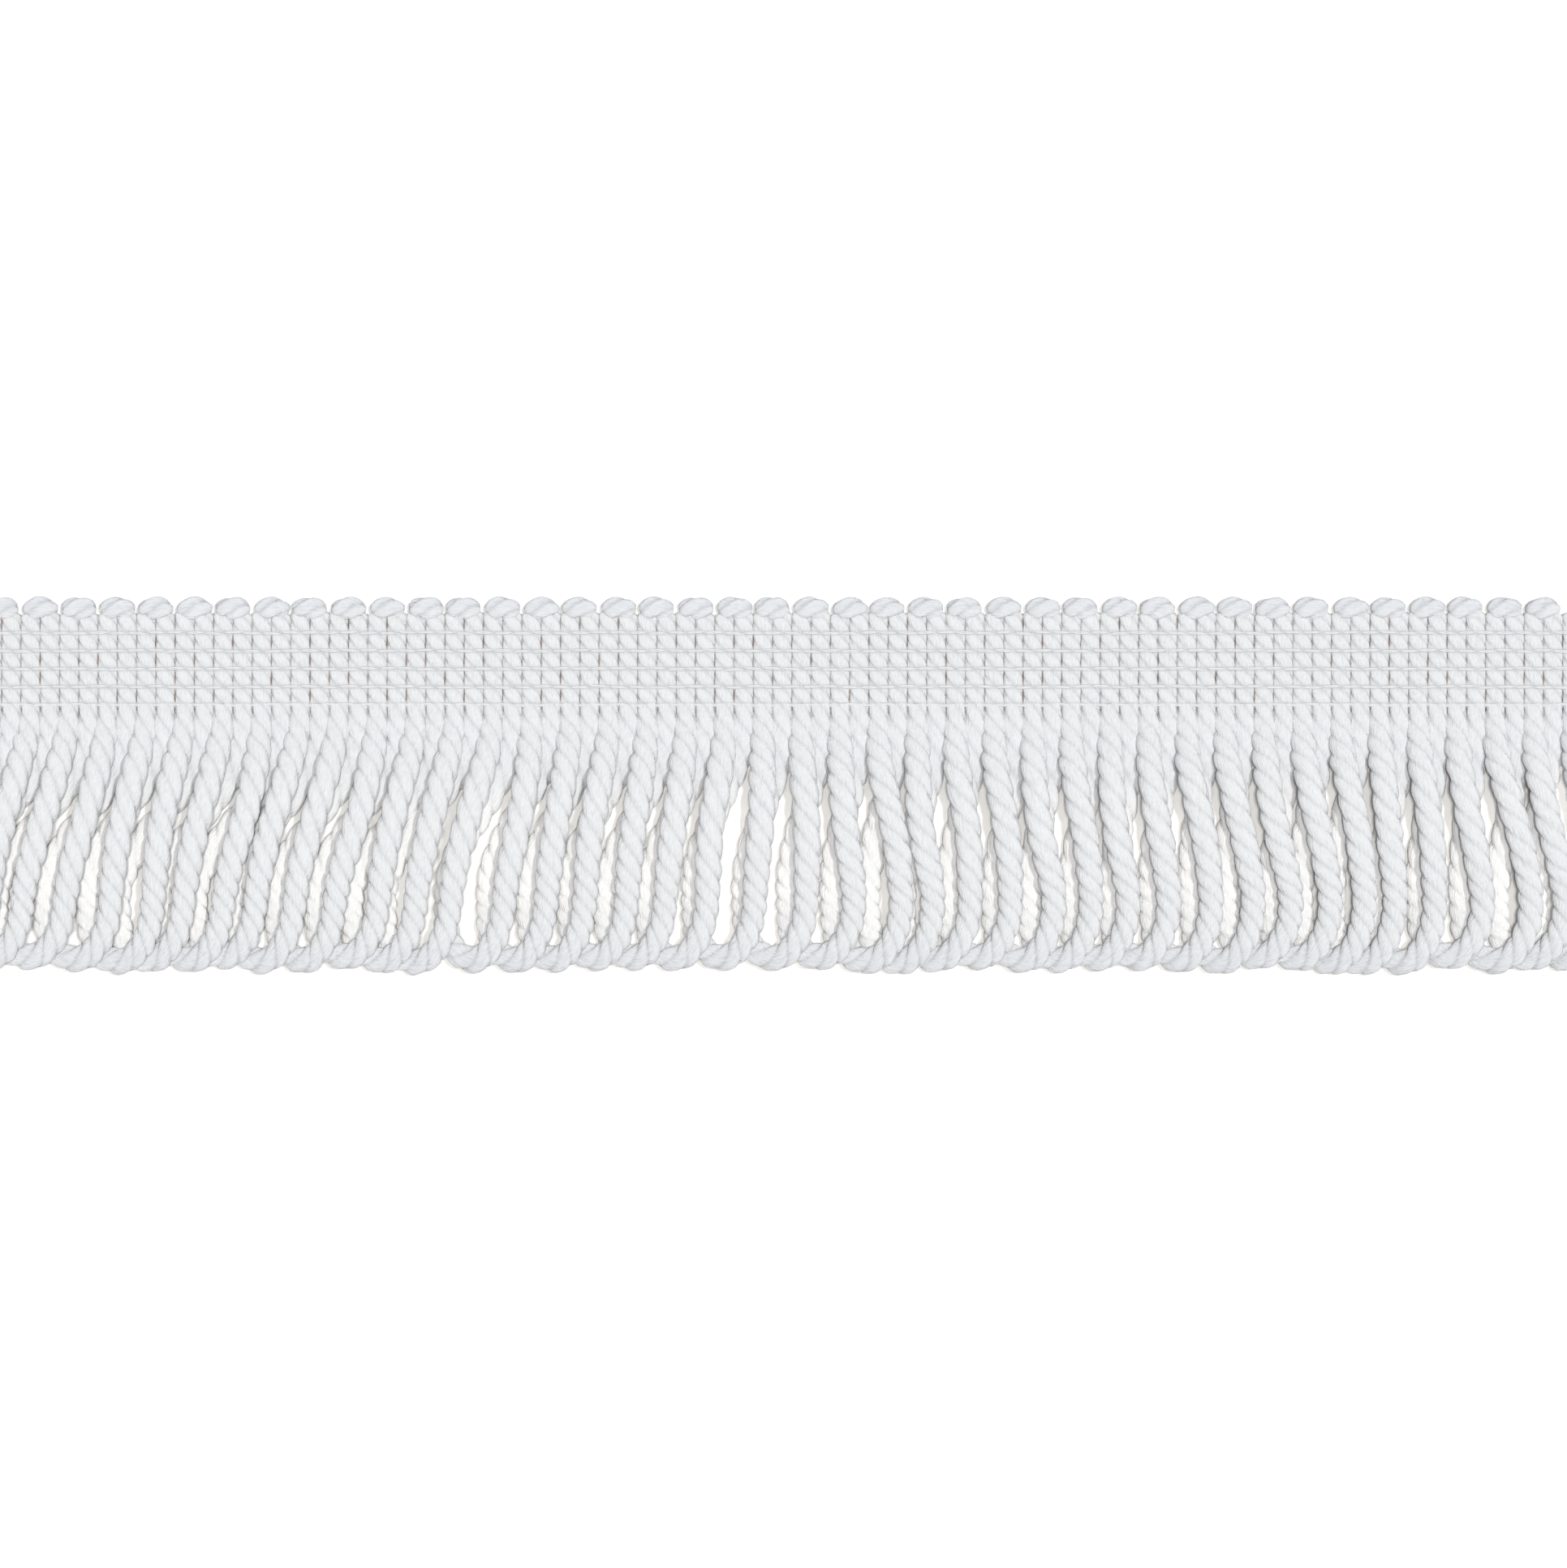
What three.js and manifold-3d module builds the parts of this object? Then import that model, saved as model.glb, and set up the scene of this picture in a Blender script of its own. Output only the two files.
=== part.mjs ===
// A cut length of white looped fringe trim, lying face up on a table.
// One thick twisted cord runs up a column of the heading, over a small turned edge, down the next
// column and out into a long loop. The loops lie over one another like fallen dominoes.
// Millimetres: +X along the trim, +Y towards the heading's turned edge, +Z up off the table.
import * as THREE from 'three';
import { mergeVertices } from 'three/addons/utils/BufferGeometryUtils.js';
import Module from 'manifold-3d';

const wasm = await Module();
wasm.setup();

// Driving sizes
const COLUMN_PITCH = 1.81;
const LOOP_PITCH = 2 * COLUMN_PITCH;
const LOOPS = 42;
const COLUMNS = 2 * LOOPS;
const LENGTH = LOOPS * LOOP_PITCH;
const ROWS = 5;
const ROW_PITCH = 1.69;
const PICOT_RISE = 1.85;
const NOTCH_RISE = 0.25;
const CLEARANCE = 0.3;

// Heights of the heading's face: the valleys, then what the ribs and the rows of cord add
const VALLEY_HEIGHT = 1.1;
const RIB_LIFT = 0.45;
const ROW_LIFT = 0.3;
const PILLOW_LIFT = 0.3;
const PICOT_HEIGHT = 2.25;
const PICOT_EDGE_HEIGHT = 1.3;

// The strip that the loops grow out of, under the heading's last row
const STRIP_HEIGHT = 1.2;
const STRIP_THICKNESS = 1.7;
const STRIP_INSET = 0.2;

// The cord of a loop: pinched at its root, full on its legs, pressed flat at the turn
const ROOT_WIDTH = 1.45;
const ROOT_THICKNESS = 1.5;
const LEG_WIDTH = 2.4;
const LEG_THICKNESS = 1.9;
const TURN_WIDTH = 2.1;
const TURN_THICKNESS = 1.2;

// The loop's path, measured down from the heading's lower edge
const ROOT_DEPTH = 0.9;
const RISE_END = 6.6;
const FULL_START = 3.4;
const FULL_END = 8;
const LEG_LENGTH = 18.8;
const TURN_DEPTH = 5.0;
const UPPER_LEG_LEVEL = 4.4;
const LAYER_STEP = 1.9;
const LEG_STEPS = 6;
const TURN_STEPS = 7;

// How far one loop strays from its neighbours
const LEAN_STRAY = 0.3;
const SPREAD_STRAY = 0.3;
const DEPTH_STRAY = 0.3;
const STRAY_SEED = 20117;

// Stations along the trim. lean: how far the upper leg's foot has moved to the right of its root.
// spread: the turn's width in loop pitches. start: the share of the leg that hangs straight first.
const STATIONS = [
  { at: -76, lean: -3.5, spread: 1.7, start: 0.04 },
  { at: -66, lean: -4.2, spread: 1.75, start: 0.04 },
  { at: -57, lean: -3.0, spread: 1.75, start: 0.04 },
  { at: -48, lean: -3.7, spread: 1.65, start: 0.05 },
  { at: -39, lean: -4.5, spread: 1.6, start: 0.05 },
  { at: -33, lean: -3.6, spread: 1.6, start: 0.05 },
  { at: -26, lean: -4.0, spread: 1.7, start: 0.06 },
  { at: -21, lean: -2.1, spread: 1.5, start: 0.08 },
  { at: -9, lean: -1.9, spread: 1.55, start: 0.1 },
  { at: 0, lean: -0.9, spread: 1.6, start: 0.16 },
  { at: 8, lean: 2.3, spread: 1.8, start: 0.22 },
  { at: 17, lean: 1.5, spread: 1.7, start: 0.24 },
  { at: 35, lean: 2.1, spread: 1.55, start: 0.24 },
  { at: 48, lean: 2.6, spread: 1.6, start: 0.2 },
  { at: 59, lean: 1.1, spread: 1.5, start: 0.16 },
  { at: 66, lean: 3.1, spread: 1.75, start: 0.2 },
  { at: 78, lean: 2.6, spread: 1.6, start: 0.2 },
];

const cordMaterial = new THREE.MeshStandardMaterial({ color: 0xe9edf1, roughness: 0.6, metalness: 0 });
const loopMaterial = new THREE.MeshStandardMaterial({ color: 0xeef1f4, roughness: 0.6, metalness: 0 });

const columnX = (column) => (column - (COLUMNS - 1) / 2) * COLUMN_PITCH;
const { clamp, lerp, smoothstep } = THREE.MathUtils;

// A small repeatable source of even numbers from -1 to 1
function straySource(seed) {
  let state = seed;
  return () => {
    state = (state * 16807) % 2147483647;
    return (2 * state) / 2147483647 - 1;
  };
}

function station(x, column) {
  const next = clamp(STATIONS.findIndex((row) => row.at >= x), 1, STATIONS.length - 1);
  const left = STATIONS[next - 1];
  const right = STATIONS[next];
  const share = clamp((x - left.at) / (right.at - left.at), 0, 1);
  return lerp(left[column], right[column], share);
}

// A closed geometry becomes a solid, and a solid becomes a geometry
function solidOf(geometry) {
  const bare = geometry.clone();
  bare.deleteAttribute('normal');
  bare.deleteAttribute('uv');
  const merged = mergeVertices(bare);
  const vertProperties = new Float32Array(merged.attributes.position.array);
  const triVerts = new Uint32Array(merged.index.array);
  return new wasm.Manifold(new wasm.Mesh({ numProp: 3, vertProperties, triVerts }));
}

function geometryOf(solid) {
  const mesh = solid.getMesh();
  const geometry = new THREE.BufferGeometry();
  geometry.setAttribute('position', new THREE.BufferAttribute(mesh.vertProperties, 3));
  geometry.setIndex(new THREE.BufferAttribute(mesh.triVerts, 1));
  geometry.computeVertexNormals();
  return geometry;
}

// Heading: ribs of cord side by side, pressed in by the rows of chain thread, with the turned edge
const CELLS_ACROSS = 2 * COLUMNS;
const CELLS_UP = 2 * ROWS;
const PICOT_CELLS = 2;
const CELLS_PER_PICOT = 4;
const FIRST_PICOT_CELL = 2;
const UNDERCUT = 1;

function picotRise(cell) {
  const ends = cell < FIRST_PICOT_CELL || cell > CELLS_ACROSS - FIRST_PICOT_CELL;
  if (ends) return NOTCH_RISE;
  const place = (cell - FIRST_PICOT_CELL) % CELLS_PER_PICOT;
  const fromMiddle = Math.abs(place - CELLS_PER_PICOT / 2) / (CELLS_PER_PICOT / 2);
  return Math.max(NOTCH_RISE, PICOT_RISE * Math.sqrt(1 - fromMiddle ** 2));
}

function headingHeight(cell, row) {
  const rib = cell % 2;
  if (row > CELLS_UP) {
    return row === CELLS_UP + PICOT_CELLS ? PICOT_EDGE_HEIGHT : PICOT_HEIGHT;
  }
  const pillow = row % 2;
  return VALLEY_HEIGHT + RIB_LIFT * rib + ROW_LIFT * pillow + PILLOW_LIFT * rib * pillow;
}

function makeHeading() {
  const rowsUp = CELLS_UP + PICOT_CELLS;
  const geometry = new THREE.BoxGeometry(1, 1, 1, CELLS_ACROSS, rowsUp, 1);
  const points = geometry.attributes.position;
  for (let i = 0; i < points.count; i += 1) {
    const cell = Math.round((points.getX(i) + 0.5) * CELLS_ACROSS);
    const row = Math.round((points.getY(i) + 0.5) * rowsUp);
    const above = Math.max(0, row - CELLS_UP) / PICOT_CELLS;
    const y = Math.min(row, CELLS_UP) * (ROW_PITCH / 2) + above * picotRise(cell);
    const z = points.getZ(i) > 0 ? headingHeight(cell, row) : -UNDERCUT;
    points.setXYZ(i, (cell / CELLS_ACROSS - 0.5) * LENGTH, y, z);
  }
  const below = new THREE.BoxGeometry(LENGTH * 1.1, LOOP_PITCH * 10, 2 * UNDERCUT);
  below.translate(0, (ROWS * ROW_PITCH) / 2, -UNDERCUT);
  return geometryOf(solidOf(geometry).subtract(solidOf(below)));
}

// Loops: where each one's feet lie
function planLoops() {
  const stray = straySource(STRAY_SEED);
  const loops = [];
  for (let k = 0; k < LOOPS; k += 1) {
    const upperRoot = columnX(2 * k + 1);
    const upperFoot = upperRoot + station(upperRoot, 'lean') + LEAN_STRAY * stray();
    const spread = station(upperRoot, 'spread') * LOOP_PITCH + SPREAD_STRAY * stray();
    loops.push({
      number: k,
      upperRoot,
      upperFoot,
      lowerRoot: columnX(2 * k),
      lowerFoot: upperFoot - spread,
      turnDepth: TURN_DEPTH + DEPTH_STRAY * stray(),
      start: station(upperRoot, 'start'),
    });
  }
  return loops;
}

// The loop number, with its fraction, whose upper foot lies at x
function loopNumberAt(x, loops) {
  const next = clamp(loops.findIndex((loop) => loop.upperFoot >= x), 1, loops.length - 1);
  const inside = x <= loops[loops.length - 1].upperFoot ? next : loops.length - 1;
  const left = loops[inside - 1].upperFoot;
  return inside - 1 + (x - left) / (loops[inside].upperFoot - left);
}

function cordSizeAt(depth, turning) {
  const full = smoothstep(depth, FULL_START, FULL_END);
  const width = lerp(ROOT_WIDTH, LEG_WIDTH, full);
  const thickness = lerp(ROOT_THICKNESS, LEG_THICKNESS, full);
  return { width: lerp(width, TURN_WIDTH, turning), thickness: lerp(thickness, TURN_THICKNESS, turning) };
}

// A point of the loop. place runs 0 to 1 down the upper leg, to 2 round the turn, to 3 up the lower leg.
function loopPoint(loop, place, loops) {
  const leg = LEG_LENGTH - ROOT_DEPTH;
  if (place <= 1) {
    const depth = ROOT_DEPTH + leg * place;
    const share = clamp((place - loop.start) / (1 - loop.start), 0, 1);
    const slant = lerp(share, smoothstep(share, 0, 1), 0.6);
    const turning = smoothstep(place, 0.72, 1);
    const size = cordSizeAt(depth, turning);
    const level = lerp(STRIP_THICKNESS / 2, UPPER_LEG_LEVEL, smoothstep(depth, ROOT_DEPTH, RISE_END));
    const x = lerp(loop.upperRoot, loop.upperFoot, slant);
    return { x, y: -depth, z: level, turning, ...size };
  }
  if (place < 2) {
    const angle = (place - 1) * Math.PI;
    const middle = (loop.upperFoot + loop.lowerFoot) / 2;
    const x = middle + ((loop.upperFoot - loop.lowerFoot) / 2) * Math.cos(angle);
    const depth = LEG_LENGTH + loop.turnDepth * Math.sin(angle);
    const size = cordSizeAt(depth, 1);
    const layersDown = loop.number - loopNumberAt(x, loops);
    const level = Math.max(size.thickness / 2, UPPER_LEG_LEVEL - LAYER_STEP * layersDown);
    return { x, y: -depth, z: level, turning: 1, ...size };
  }
  const up = place - 2;
  const depth = LEG_LENGTH - leg * up;
  const slant = smoothstep(up, 0.05, 0.95);
  const turning = 1 - smoothstep(up, 0, 0.28);
  const size = cordSizeAt(depth, turning);
  const x = lerp(loop.lowerFoot, loop.lowerRoot, slant);
  const level = lerp(STRIP_THICKNESS / 2, size.thickness / 2, smoothstep(depth, ROOT_DEPTH, FULL_START));
  return { x, y: -depth, z: level, turning, ...size };
}

function makeLoop(loop, loops) {
  const steps = 2 * LEG_STEPS + TURN_STEPS;
  const placeOf = (step) => {
    if (step <= LEG_STEPS) return step / LEG_STEPS;
    if (step <= LEG_STEPS + TURN_STEPS) return 1 + (step - LEG_STEPS) / TURN_STEPS;
    return 2 + (step - LEG_STEPS - TURN_STEPS) / LEG_STEPS;
  };
  const stops = Array.from({ length: steps + 1 }, (_, step) => loopPoint(loop, placeOf(step), loops));
  const places = stops.map((stop) => new THREE.Vector3(stop.x, stop.y, stop.z));
  const geometry = new THREE.BoxGeometry(1, 1, 1, 1, steps, 1);
  const points = geometry.attributes.position;
  const slope = LAYER_STEP / LOOP_PITCH;
  for (let i = 0; i < points.count; i += 1) {
    const step = Math.round((points.getY(i) + 0.5) * steps);
    const before = places[Math.max(0, step - 1)];
    const after = places[Math.min(steps, step + 1)];
    const along = after.clone().sub(before).normalize();
    const lift = new THREE.Vector3(-slope * stops[step].turning, 0, 1).normalize();
    const across = along.clone().cross(lift).normalize();
    const up = across.clone().cross(along);
    const reach = (Math.abs(across.z) * stops[step].width + up.z * stops[step].thickness) / 2;
    const point = places[step].clone();
    point.z = Math.max(point.z, reach);
    point.addScaledVector(across, points.getX(i) * stops[step].width);
    point.addScaledVector(up, points.getZ(i) * stops[step].thickness);
    points.setXYZ(i, point.x, point.y, point.z);
  }
  return solidOf(geometry);
}

function makeFringe() {
  const loops = planLoops();
  const strip = new THREE.BoxGeometry(LENGTH - 2 * STRIP_INSET, STRIP_HEIGHT, STRIP_THICKNESS);
  strip.translate(0, -CLEARANCE - STRIP_HEIGHT / 2, STRIP_THICKNESS / 2);
  return geometryOf(loops.reduce((whole, loop) => whole.add(makeLoop(loop, loops)), solidOf(strip)));
}

const row = new THREE.Group();
const heading = new THREE.Mesh(makeHeading(), cordMaterial);
heading.name = 'heading';
const fringe = new THREE.Mesh(makeFringe(), loopMaterial);
fringe.name = 'fringe';
row.add(heading, fringe);

// The origin is on the table under the middle of the whole trim
const extent = new THREE.Box3().setFromObject(row);
const middle = extent.getCenter(new THREE.Vector3());
row.position.set(-middle.x, -middle.y, -extent.min.z);

const trim = new THREE.Group();
trim.add(row);
export default trim;
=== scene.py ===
"""The looks of a cut length of white looped fringe trim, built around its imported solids.

One thick three-ply cord makes both the heading and the loops, and fine chain thread binds the
heading. Every cord is a polyline that carries its own section, and one Geometry Nodes tree sweeps
a three-lobed, twisted section along it. Lengths are metres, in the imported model's own frame: +X
along the trim, +Y towards the heading's turned edge, +Z up off the table.
"""

import logging
import math
from dataclasses import dataclass, field
from enum import Enum

import bpy
import numpy as np
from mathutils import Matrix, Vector


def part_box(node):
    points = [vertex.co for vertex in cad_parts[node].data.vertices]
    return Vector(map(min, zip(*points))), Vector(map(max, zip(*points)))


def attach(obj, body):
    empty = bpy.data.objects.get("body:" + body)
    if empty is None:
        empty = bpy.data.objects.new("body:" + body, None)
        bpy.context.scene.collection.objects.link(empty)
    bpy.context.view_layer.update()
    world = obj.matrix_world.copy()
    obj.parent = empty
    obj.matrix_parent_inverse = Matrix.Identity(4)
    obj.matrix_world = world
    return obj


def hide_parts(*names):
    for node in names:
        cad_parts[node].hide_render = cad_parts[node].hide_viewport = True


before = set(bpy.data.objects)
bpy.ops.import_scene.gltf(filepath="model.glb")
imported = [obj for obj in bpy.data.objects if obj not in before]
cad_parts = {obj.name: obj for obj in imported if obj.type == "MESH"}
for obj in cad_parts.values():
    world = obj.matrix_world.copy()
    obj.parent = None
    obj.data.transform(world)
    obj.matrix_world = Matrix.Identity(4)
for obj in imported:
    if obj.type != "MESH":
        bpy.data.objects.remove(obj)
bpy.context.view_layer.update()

LOG = logging.getLogger("fringe_trim")
MM = 0.001
THIRD_TURN = 2 * math.pi / 3
PLIES = 3
BODY = "root"
TIP_WIDTH = 0.06
# Where painted shade, for cord that turns over, starts and ends at the picots and at the loops' turns,
# from the heading's lower edge.
PICOT_SHADE_START = 8.6 * MM
PICOT_SHADE_END = 9.6 * MM
TURN_SHADE_START = -21.5 * MM
TURN_SHADE_END = -25.5 * MM

Number = float | np.ndarray
Socket = bpy.types.NodeSocket
Value = float | Socket
Colour = tuple[float, float, float]


class Twist(Enum):
    """Which way a cord's plies run, as the sign of its section's turn along the path."""

    S = -1.0
    Z = 1.0


def smoothstep(value: Number, low: float, high: float) -> Number:
    """A smooth rise from 0 at low to 1 at high.

    Args:
        value: where the rise is read, as one number or an array.
        low: where the rise starts.
        high: where the rise ends.

    Returns:
        The height of the rise, from 0 to 1.
    """
    share = np.clip((value - low) / (high - low), 0.0, 1.0)
    return share * share * (3 - 2 * share)


def lerp(start: Number, end: Number, share: Number) -> Number:
    """The value at a share of the way from start to end."""
    return start + (end - start) * share


def closed_end(outward: np.ndarray, power: float) -> np.ndarray:
    """How wide a cord stays towards its closed, rounded end.

    Args:
        outward: how far out each point lies, from 0 to 1 at the very end.
        power: how blunt the end is: 2 is round, and more is blunter.

    Returns:
        The share of the full width, which falls to TIP_WIDTH at the very end.
    """
    rounded = np.sqrt(np.maximum(0.0, 1 - np.abs(outward) ** power))
    return lerp(TIP_WIDTH, 1.0, rounded)


class StraySource:
    """A small repeatable source of even numbers from -1 to 1."""

    MODULUS = 2147483647
    FACTOR = 16807

    def __init__(self, seed: int) -> None:
        """Starts the row of numbers at a seed."""
        self.state = seed

    def next(self) -> float:
        """The next number."""
        self.state = (self.state * self.FACTOR) % self.MODULUS
        return 2 * self.state / self.MODULUS - 1


@dataclass(frozen=True)
class Station:
    """How the loops lie at one place along the trim, in millimetres and loop pitches.

    at is the place, lean how far the upper leg's foot has moved right of its root, spread the
    turn's width in loop pitches, and start the share of the leg that hangs straight first.
    """

    at: float
    lean: float
    spread: float
    start: float


STATIONS = (
    Station(-76, -3.5, 1.7, 0.04),
    Station(-66, -4.2, 1.75, 0.04),
    Station(-57, -3.0, 1.75, 0.04),
    Station(-48, -3.7, 1.65, 0.05),
    Station(-39, -4.5, 1.6, 0.05),
    Station(-33, -3.6, 1.6, 0.05),
    Station(-26, -4.0, 1.7, 0.06),
    Station(-21, -2.1, 1.5, 0.08),
    Station(-9, -1.9, 1.55, 0.1),
    Station(0, -0.9, 1.6, 0.16),
    Station(8, 2.3, 1.8, 0.22),
    Station(17, 1.5, 1.7, 0.24),
    Station(35, 2.1, 1.55, 0.24),
    Station(48, 2.6, 1.6, 0.2),
    Station(59, 1.1, 1.5, 0.16),
    Station(66, 3.1, 1.75, 0.2),
    Station(78, 2.6, 1.6, 0.2),
)


@dataclass(frozen=True)
class Loop:
    """Where one loop's roots and feet lie along the trim, in metres from its middle."""

    number: int
    upper_root: float
    upper_foot: float
    lower_root: float
    lower_foot: float
    turn_depth: float
    start: float


@dataclass(frozen=True)
class TrimPlan:
    """The trim's layout: where its columns, thread rows and loops lie.

    Places are measured from the middle of the heading's lower edge, on the table. The middle and
    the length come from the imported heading.
    """

    origin: Vector
    length: float
    depth: float
    loop_count: int = 42
    row_count: int = 5
    row_pitch: float = 1.69 * MM
    first_row: float = 0.12 * MM
    turn_depth: float = 5.0 * MM
    lean_stray: float = 0.3 * MM
    spread_stray: float = 0.3 * MM
    depth_stray: float = 0.3 * MM
    stray_seed: int = 20117

    @classmethod
    def from_frame(cls) -> "TrimPlan":
        """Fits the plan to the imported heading.

        Returns:
            The plan, with the heading's place, length and depth.
        """
        low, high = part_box("heading")
        origin = Vector(((low.x + high.x) / 2, low.y, 0.0))
        return cls(origin=origin, length=high.x - low.x, depth=high.y - low.y)

    @property
    def column_count(self) -> int:
        """The number of upright passes of cord."""
        return 2 * self.loop_count

    @property
    def column_pitch(self) -> float:
        """The distance from one upright pass to the next."""
        return self.length / self.column_count

    @property
    def loop_pitch(self) -> float:
        """The distance from one loop to the next."""
        return 2 * self.column_pitch

    def column_x(self, column: float) -> float:
        """The place of a column along the trim."""
        return (column - (self.column_count - 1) / 2) * self.column_pitch

    def row_y(self, row: int) -> float:
        """The height of a thread row above the heading's lower edge."""
        return self.first_row + row * self.row_pitch

    def station(self, x: float, name: str) -> float:
        """A column of the table of stations, read at a place along the trim.

        Args:
            x: the place, in metres from the middle.
            name: the column's name.

        Returns:
            The value there, in the table's own units.
        """
        places = [row.at * MM for row in STATIONS]
        return float(np.interp(x, places, [getattr(row, name) for row in STATIONS]))

    def loops(self) -> list[Loop]:
        """Lays out the loops, strayed by the same draws as the solids.

        Returns:
            Every loop's roots and feet, from the left end of the trim.
        """
        stray = StraySource(self.stray_seed)
        loops = []
        for number in range(self.loop_count):
            upper_root = self.column_x(2 * number + 1)
            lean = self.station(upper_root, "lean") * MM
            upper_foot = upper_root + lean + self.lean_stray * stray.next()
            spread = self.station(upper_root, "spread") * self.loop_pitch
            spread += self.spread_stray * stray.next()
            loops.append(
                Loop(
                    number=number,
                    upper_root=upper_root,
                    upper_foot=upper_foot,
                    lower_root=self.column_x(2 * number),
                    lower_foot=upper_foot - spread,
                    turn_depth=self.turn_depth + self.depth_stray * stray.next(),
                    start=self.station(upper_root, "start"),
                )
            )
        return loops


@dataclass
class Strand:
    """One cord's centre line, with the section that it has at each point.

    Rows are points. Columns of line are x, y, z, width, thickness, slant and room, where slant is
    how far the section's upper side leans to the left, and room is half the width that the
    strand's neighbours leave it.
    """

    line: np.ndarray
    turns: np.ndarray = field(default_factory=lambda: np.zeros(0))

    COLUMNS = 7
    CROWDING = 0.8

    def relaxed(self, rounds: int) -> "Strand":
        """Eases the strand's corners and keeps its ends.

        Args:
            rounds: how many times each point moves halfway to the middle of its neighbours.

        Returns:
            The eased strand.
        """
        line = self.line.copy()
        for _ in range(rounds):
            line[1:-1] = 0.25 * line[:-2] + 0.5 * line[1:-1] + 0.25 * line[2:]
        return Strand(line)

    def respaced(self, step: float) -> "Strand":
        """Spaces the strand's points evenly.

        Args:
            step: the wanted distance from one point to the next.

        Returns:
            The strand on its new points.
        """
        reached = self.reached()
        count = max(2, round(reached[-1] / step) + 1)
        places = np.linspace(0, reached[-1], count)
        columns = [np.interp(places, reached, self.line[:, c]) for c in range(self.COLUMNS)]
        return Strand(np.stack(columns, axis=1))

    def reached(self) -> np.ndarray:
        """How far along the strand each point lies."""
        steps = np.linalg.norm(np.diff(self.line[:, :3], axis=0), axis=1)
        return np.concatenate([[0.0], np.cumsum(steps)])

    def wound(self) -> np.ndarray:
        """How far along the strand each point lies, counted longer where a turn crowds the plies."""
        steps = np.linalg.norm(np.diff(self.line[:, :3], axis=0), axis=1)
        crowded = 1 + self.CROWDING * (self.line[:-1, 5] + self.line[1:, 5]) / 2
        return np.concatenate([[0.0], np.cumsum(steps * crowded)])

    def along(self) -> np.ndarray:
        """The direction of the strand at each point."""
        direction = np.gradient(self.line[:, :3], axis=0)
        return direction / np.linalg.norm(direction, axis=1, keepdims=True)

    def lifts(self) -> np.ndarray:
        """Finds the direction of the section's upper side.

        Returns:
            A unit vector for each point, square to the strand.
        """
        along = self.along()
        raw = np.stack([-self.line[:, 5], np.zeros(len(along)), np.ones(len(along))], axis=1)
        square = raw - along * np.sum(raw * along, axis=1, keepdims=True)
        return square / np.linalg.norm(square, axis=1, keepdims=True)

    def across(self) -> np.ndarray:
        """The direction of the section's side at each point."""
        return np.cross(self.along(), self.lifts())

    def rested(self, clearance: float) -> "Strand":
        """Raises the strand where its section would dip under the table.

        Args:
            clearance: how far above the table the section stays.

        Returns:
            The raised strand.
        """
        wide = self.across()[:, 2] * self.line[:, 3] / 2
        tall = self.lifts()[:, 2] * self.line[:, 4] / 2
        line = self.line.copy()
        line[:, 2] = np.maximum(line[:, 2], np.hypot(wide, tall) + clearance)
        return Strand(line)

    def twisted(self, twist: Twist, pitch: float, first: float, last: float | None) -> "Strand":
        """The same strand with its plies laid along it.

        Args:
            twist: the way the plies run.
            pitch: the length of one whole turn.
            first: the section's turn at the first point.
            last: the turn that the last point should have, or None where it may be any. The
                pitch is changed a little to reach it, which works because the plies are alike.

        Returns:
            The strand with its turns set.
        """
        wound = self.wound()
        change = twist.value * 2 * math.pi * wound[-1] / pitch
        if last is not None:
            wanted = last - first
            change = wanted + THIRD_TURN * round((change - wanted) / THIRD_TURN)
        return Strand(self.line, first + change * wound / wound[-1])


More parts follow.
